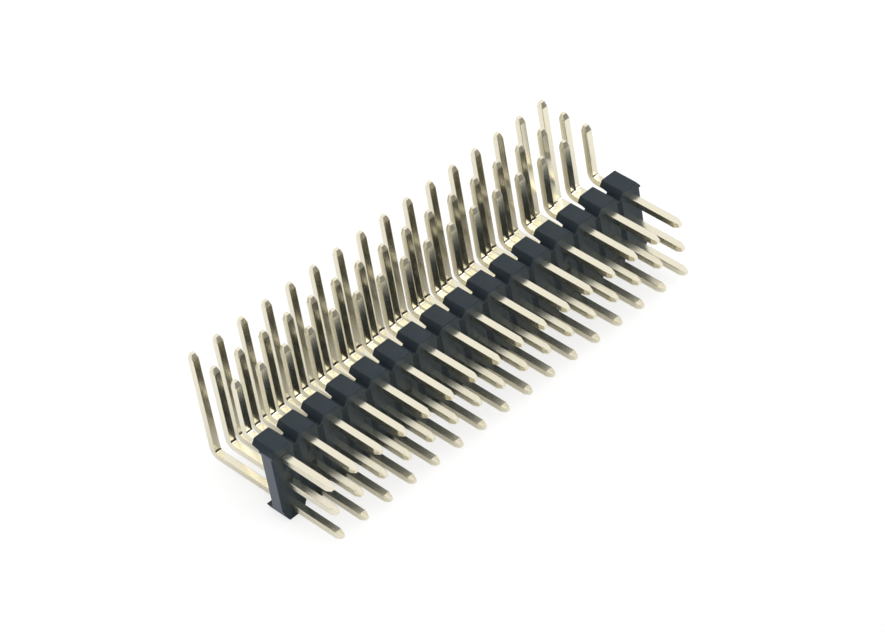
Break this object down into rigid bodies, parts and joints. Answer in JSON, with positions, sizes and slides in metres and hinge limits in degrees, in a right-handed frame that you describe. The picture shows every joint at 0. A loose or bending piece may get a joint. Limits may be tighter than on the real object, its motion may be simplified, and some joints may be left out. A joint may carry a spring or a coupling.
{
  "type": "pin header strip",
  "caption": "Right-angle pin header: rows of square gold-plated pins, each bent through a right angle, held in a notched dark plastic insulator strip.",
  "frame": {"origin": "centre of the footprint, on the plane of the insulator's underside", "axes": "+X along the strip from column 1, +Y from the contact posts to the bends, +Z along the solder tails"},
  "size_m": [0.0404, 0.0152, 0.0117],
  "materials": {
    "insulator_plastic": "matte moulded plastic, blue-grey black",
    "gold_plated_wire": "pale gold plating over drawn square wire"
  },
  "bodies": {
    "root": {"insulator": "insulator_plastic", "pin_row1_col01": "gold_plated_wire", "pin_row1_col02": "gold_plated_wire", "pin_row1_col03": "gold_plated_wire", "pin_row1_col04": "gold_plated_wire", "pin_row1_col05": "gold_plated_wire", "pin_row1_col06": "gold_plated_wire", "pin_row1_col07": "gold_plated_wire", "pin_row1_col08": "gold_plated_wire", "pin_row1_col09": "gold_plated_wire", "pin_row1_col10": "gold_plated_wire", "pin_row1_col11": "gold_plated_wire", "pin_row1_col12": "gold_plated_wire", "pin_row1_col13": "gold_plated_wire", "pin_row1_col14": "gold_plated_wire", "pin_row1_col15": "gold_plated_wire", "pin_row1_col16": "gold_plated_wire", "pin_row2_col01": "gold_plated_wire", "pin_row2_col02": "gold_plated_wire", "pin_row2_col03": "gold_plated_wire", "pin_row2_col04": "gold_plated_wire", "pin_row2_col05": "gold_plated_wire", "pin_row2_col06": "gold_plated_wire", "pin_row2_col07": "gold_plated_wire", "pin_row2_col08": "gold_plated_wire", "pin_row2_col09": "gold_plated_wire", "pin_row2_col10": "gold_plated_wire", "pin_row2_col11": "gold_plated_wire", "pin_row2_col12": "gold_plated_wire", "pin_row2_col13": "gold_plated_wire", "pin_row2_col14": "gold_plated_wire", "pin_row2_col15": "gold_plated_wire", "pin_row2_col16": "gold_plated_wire", "pin_row3_col01": "gold_plated_wire", "pin_row3_col02": "gold_plated_wire", "pin_row3_col03": "gold_plated_wire", "pin_row3_col04": "gold_plated_wire", "pin_row3_col05": "gold_plated_wire", "pin_row3_col06": "gold_plated_wire", "pin_row3_col07": "gold_plated_wire", "pin_row3_col08": "gold_plated_wire", "pin_row3_col09": "gold_plated_wire", "pin_row3_col10": "gold_plated_wire", "pin_row3_col11": "gold_plated_wire", "pin_row3_col12": "gold_plated_wire", "pin_row3_col13": "gold_plated_wire", "pin_row3_col14": "gold_plated_wire", "pin_row3_col15": "gold_plated_wire", "pin_row3_col16": "gold_plated_wire"}
  },
  "joints": []
}
